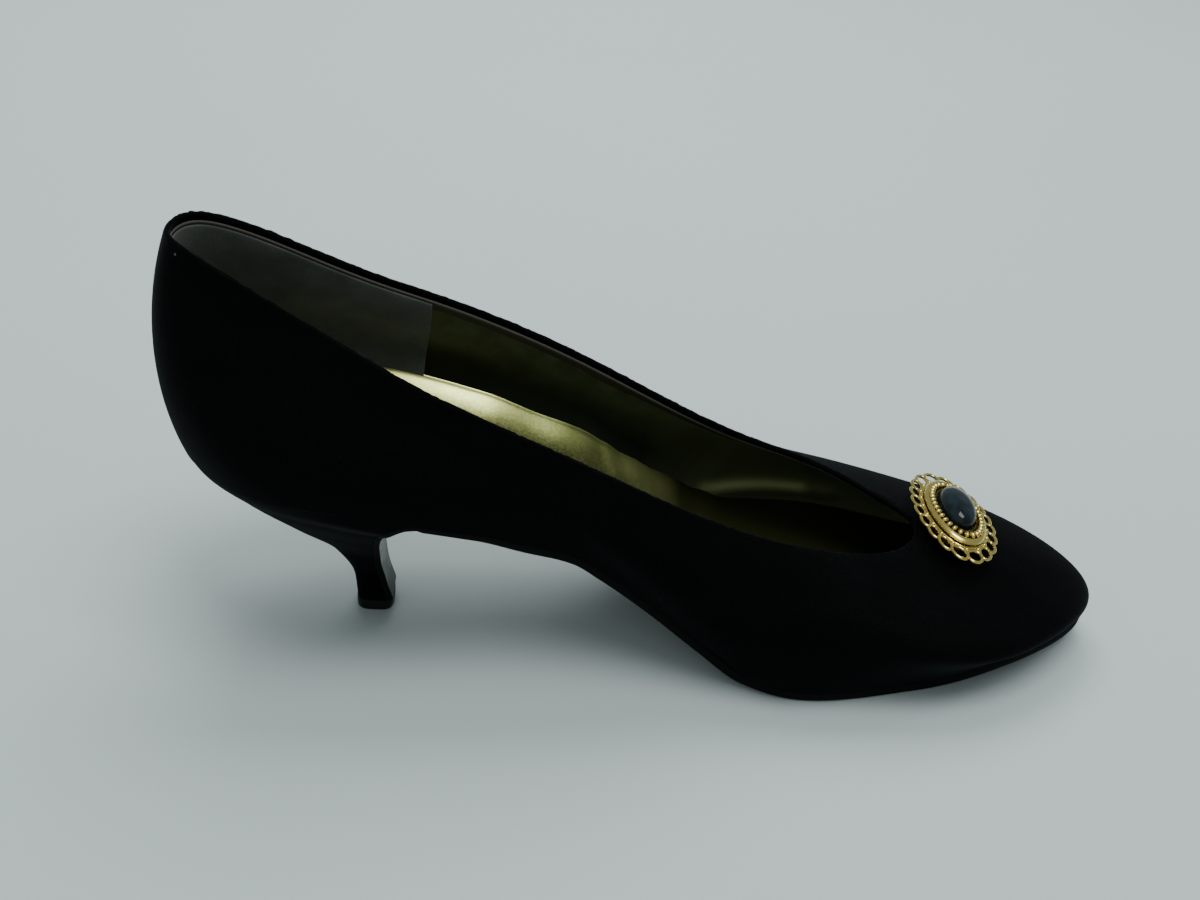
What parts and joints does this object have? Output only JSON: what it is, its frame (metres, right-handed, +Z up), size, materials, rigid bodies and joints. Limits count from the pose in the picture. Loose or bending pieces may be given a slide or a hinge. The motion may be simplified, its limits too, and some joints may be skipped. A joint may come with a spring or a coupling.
{
  "type": "pump shoe",
  "caption": "Black velvet pump with a kitten heel, low round throat, gold sock lining and an oval openwork brooch with a dark stone across the vamp.",
  "frame": {"origin": "on the floor under the middle of the shoe's box", "axes": "+X from the heel to the toe, +Y to the outer (lateral) side, +Z up from the floor"},
  "size_m": [0.2464, 0.0788, 0.1111],
  "materials": {
    "velvet": "black velvet with a soft nap",
    "sock": "gold metallic sock lining",
    "sole": "black polished sole leather",
    "lift": "black moulded lift",
    "gold_metal": "antique pale gold plate",
    "stone": "polished black cabochon"
  },
  "bodies": {
    "root": {"upper": "velvet", "insole": "sock", "outsole": "sole", "heel": "velvet", "top_piece": "lift", "brooch_filigree": "gold_metal", "brooch_bezel": "gold_metal", "brooch_stone": "stone"}
  },
  "joints": []
}
